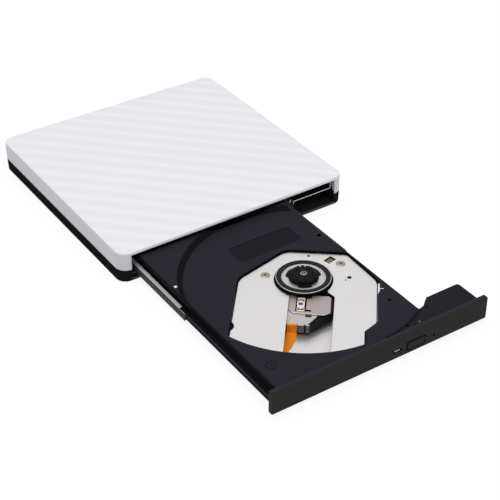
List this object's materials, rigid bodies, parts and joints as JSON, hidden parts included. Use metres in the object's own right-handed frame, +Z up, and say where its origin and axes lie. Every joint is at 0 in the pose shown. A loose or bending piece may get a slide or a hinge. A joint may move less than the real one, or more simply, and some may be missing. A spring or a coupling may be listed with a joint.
{
  "type": "external disc drive",
  "caption": "Flat square external disc drive with a white cover, black base and an open sliding tray that shows the turntable, pickup and silver traverse plate.",
  "frame": {"origin": "on the floor, under the middle of the whole object's box with the tray open", "axes": "+X to the right along the front, +Y to the back, +Z up; the tray slides out along -Y"},
  "size_m": [0.142, 0.2691, 0.0183],
  "materials": {
    "white_abs": "fine twill grain",
    "black_abs": "satin",
    "tray_resin": "fine texture",
    "rubber": "matte",
    "foam": "open cell",
    "zinc_sheet": "zinc plated",
    "bright_sheet": "satin",
    "bright_steel": "ground",
    "screw_steel": "blackened",
    "guide_resin": "moulded",
    "board_laminate": "solder mask",
    "chip_epoxy": "moulded",
    "light_acrylic": "clear",
    "pickup_alloy": "satin",
    "pickup_resin": "moulded",
    "lens_resin": "moulded",
    "coil_wire": "enamelled",
    "lens_glass": "coated",
    "polyimide": "film",
    "ribbon_film": "film",
    "bronze_screw": "satin",
    "copper_coil": "wound"
  },
  "bodies": {
    "case": {"top_cover": "white_abs", "base_shell": "black_abs", "foot_front_left": "rubber", "foot_front_right": "rubber", "foot_back_left": "rubber", "foot_back_right": "rubber", "case_screw_front_left": "screw_steel", "case_screw_front_right": "screw_steel", "case_screw_back_left": "screw_steel", "case_screw_back_right": "screw_steel", "foam_pad_left": "foam", "foam_pad_right": "foam", "chassis_pan": "zinc_sheet", "chassis_lid": "zinc_sheet", "rail_guide_left": "guide_resin", "rail_guide_right": "guide_resin", "bridge_board": "board_laminate", "bridge_chips": "chip_epoxy", "usb_socket": "bright_sheet", "drive_connector": "chip_epoxy", "tray_ribbon": "ribbon_film"},
    "left_slide": {"left_rail": "bright_sheet"},
    "right_slide": {"right_rail": "bright_sheet"},
    "tray": {"tray_frame": "tray_resin", "front_bezel": "black_abs", "tray_bottom": "bright_sheet", "light_pipe": "light_acrylic", "main_board": "board_laminate", "board_chips": "chip_epoxy", "eject_switch": "chip_epoxy", "latch_magnet": "copper_coil", "latch_pin": "bright_steel", "traverse_frame": "screw_steel", "traverse_cover": "bright_sheet", "cover_screw_left": "bronze_screw", "cover_screw_right": "bronze_screw", "damper_left": "rubber", "damper_right": "rubber", "damper_front": "rubber", "damper_corner": "rubber", "guide_rod_main": "bright_steel", "guide_rod_far": "bright_steel", "spindle_motor": "screw_steel", "sled_motor": "bright_sheet", "flex_cable": "polyimide"},
    "button": {"eject_button": "black_abs"},
    "latch": {"latch_lever": "guide_resin"},
    "spindle": {"turntable": "pickup_resin", "friction_ring": "rubber", "spindle_hub": "pickup_resin", "hub_jaws": "pickup_resin", "spindle_shaft": "bright_steel"},
    "pickup": {"pickup_body": "pickup_resin", "pickup_cover": "pickup_alloy", "pickup_board": "pickup_alloy"},
    "lens": {"lens_holder": "lens_resin", "lens_coils": "coil_wire", "objective_lens": "lens_glass"},
    "feed": {"lead_screw": "bright_steel"}
  },
  "joints": [
    {"name": "tray_slide", "type": "slide", "parent": "case", "child": "tray", "axis": [0, 1, 0], "range_m": [0, 0.1265], "deforming": ["tray_ribbon"]},
    {"name": "left_rail_slide", "type": "slide", "parent": "case", "child": "left_slide", "axis": [0, 1, 0], "range_m": [0, 0.053]},
    {"name": "right_rail_slide", "type": "slide", "parent": "case", "child": "right_slide", "axis": [0, 1, 0], "range_m": [0, 0.053]},
    {"name": "eject_press", "type": "slide", "parent": "tray", "child": "button", "axis": [0, 1, 0], "range_m": [0, 0.0006], "stiffness_N_per_m": 500},
    {"name": "latch_pivot", "type": "hinge", "parent": "tray", "child": "latch", "pos_m": [0.0295, -0.12085, 0.009], "axis": [0, 0, 1], "range_deg": [0, 14]},
    {"name": "spindle_spin", "type": "hinge", "parent": "tray", "child": "spindle", "pos_m": [0.0014, -0.067, 0.01], "axis": [0, 0, 1], "continuous": true},
    {"name": "pickup_slide", "type": "slide", "parent": "tray", "child": "pickup", "axis": [-0.6259, -0.7799, 0], "range_m": [0, 0.038], "deforming": ["flex_cable"]},
    {"name": "lens_focus", "type": "slide", "parent": "pickup", "child": "lens", "axis": [0, 0, 1], "range_m": [-0.0003, 0.0003], "stiffness_N_per_m": 60},
    {"name": "feed_spin", "type": "hinge", "parent": "tray", "child": "feed", "pos_m": [-0.0129, -0.0632, 0.00635], "axis": [-0.6259, -0.7799, 0], "range_deg": [-10, 4600]}
  ],
  "couplings": [
    {"joint": "left_rail_slide", "follows": "tray_slide", "ratio": 0.41107},
    {"joint": "right_rail_slide", "follows": "tray_slide", "ratio": 0.41107},
    {"joint": "feed_spin", "follows": "pickup_slide", "rad_per_m": 2094.4}
  ]
}
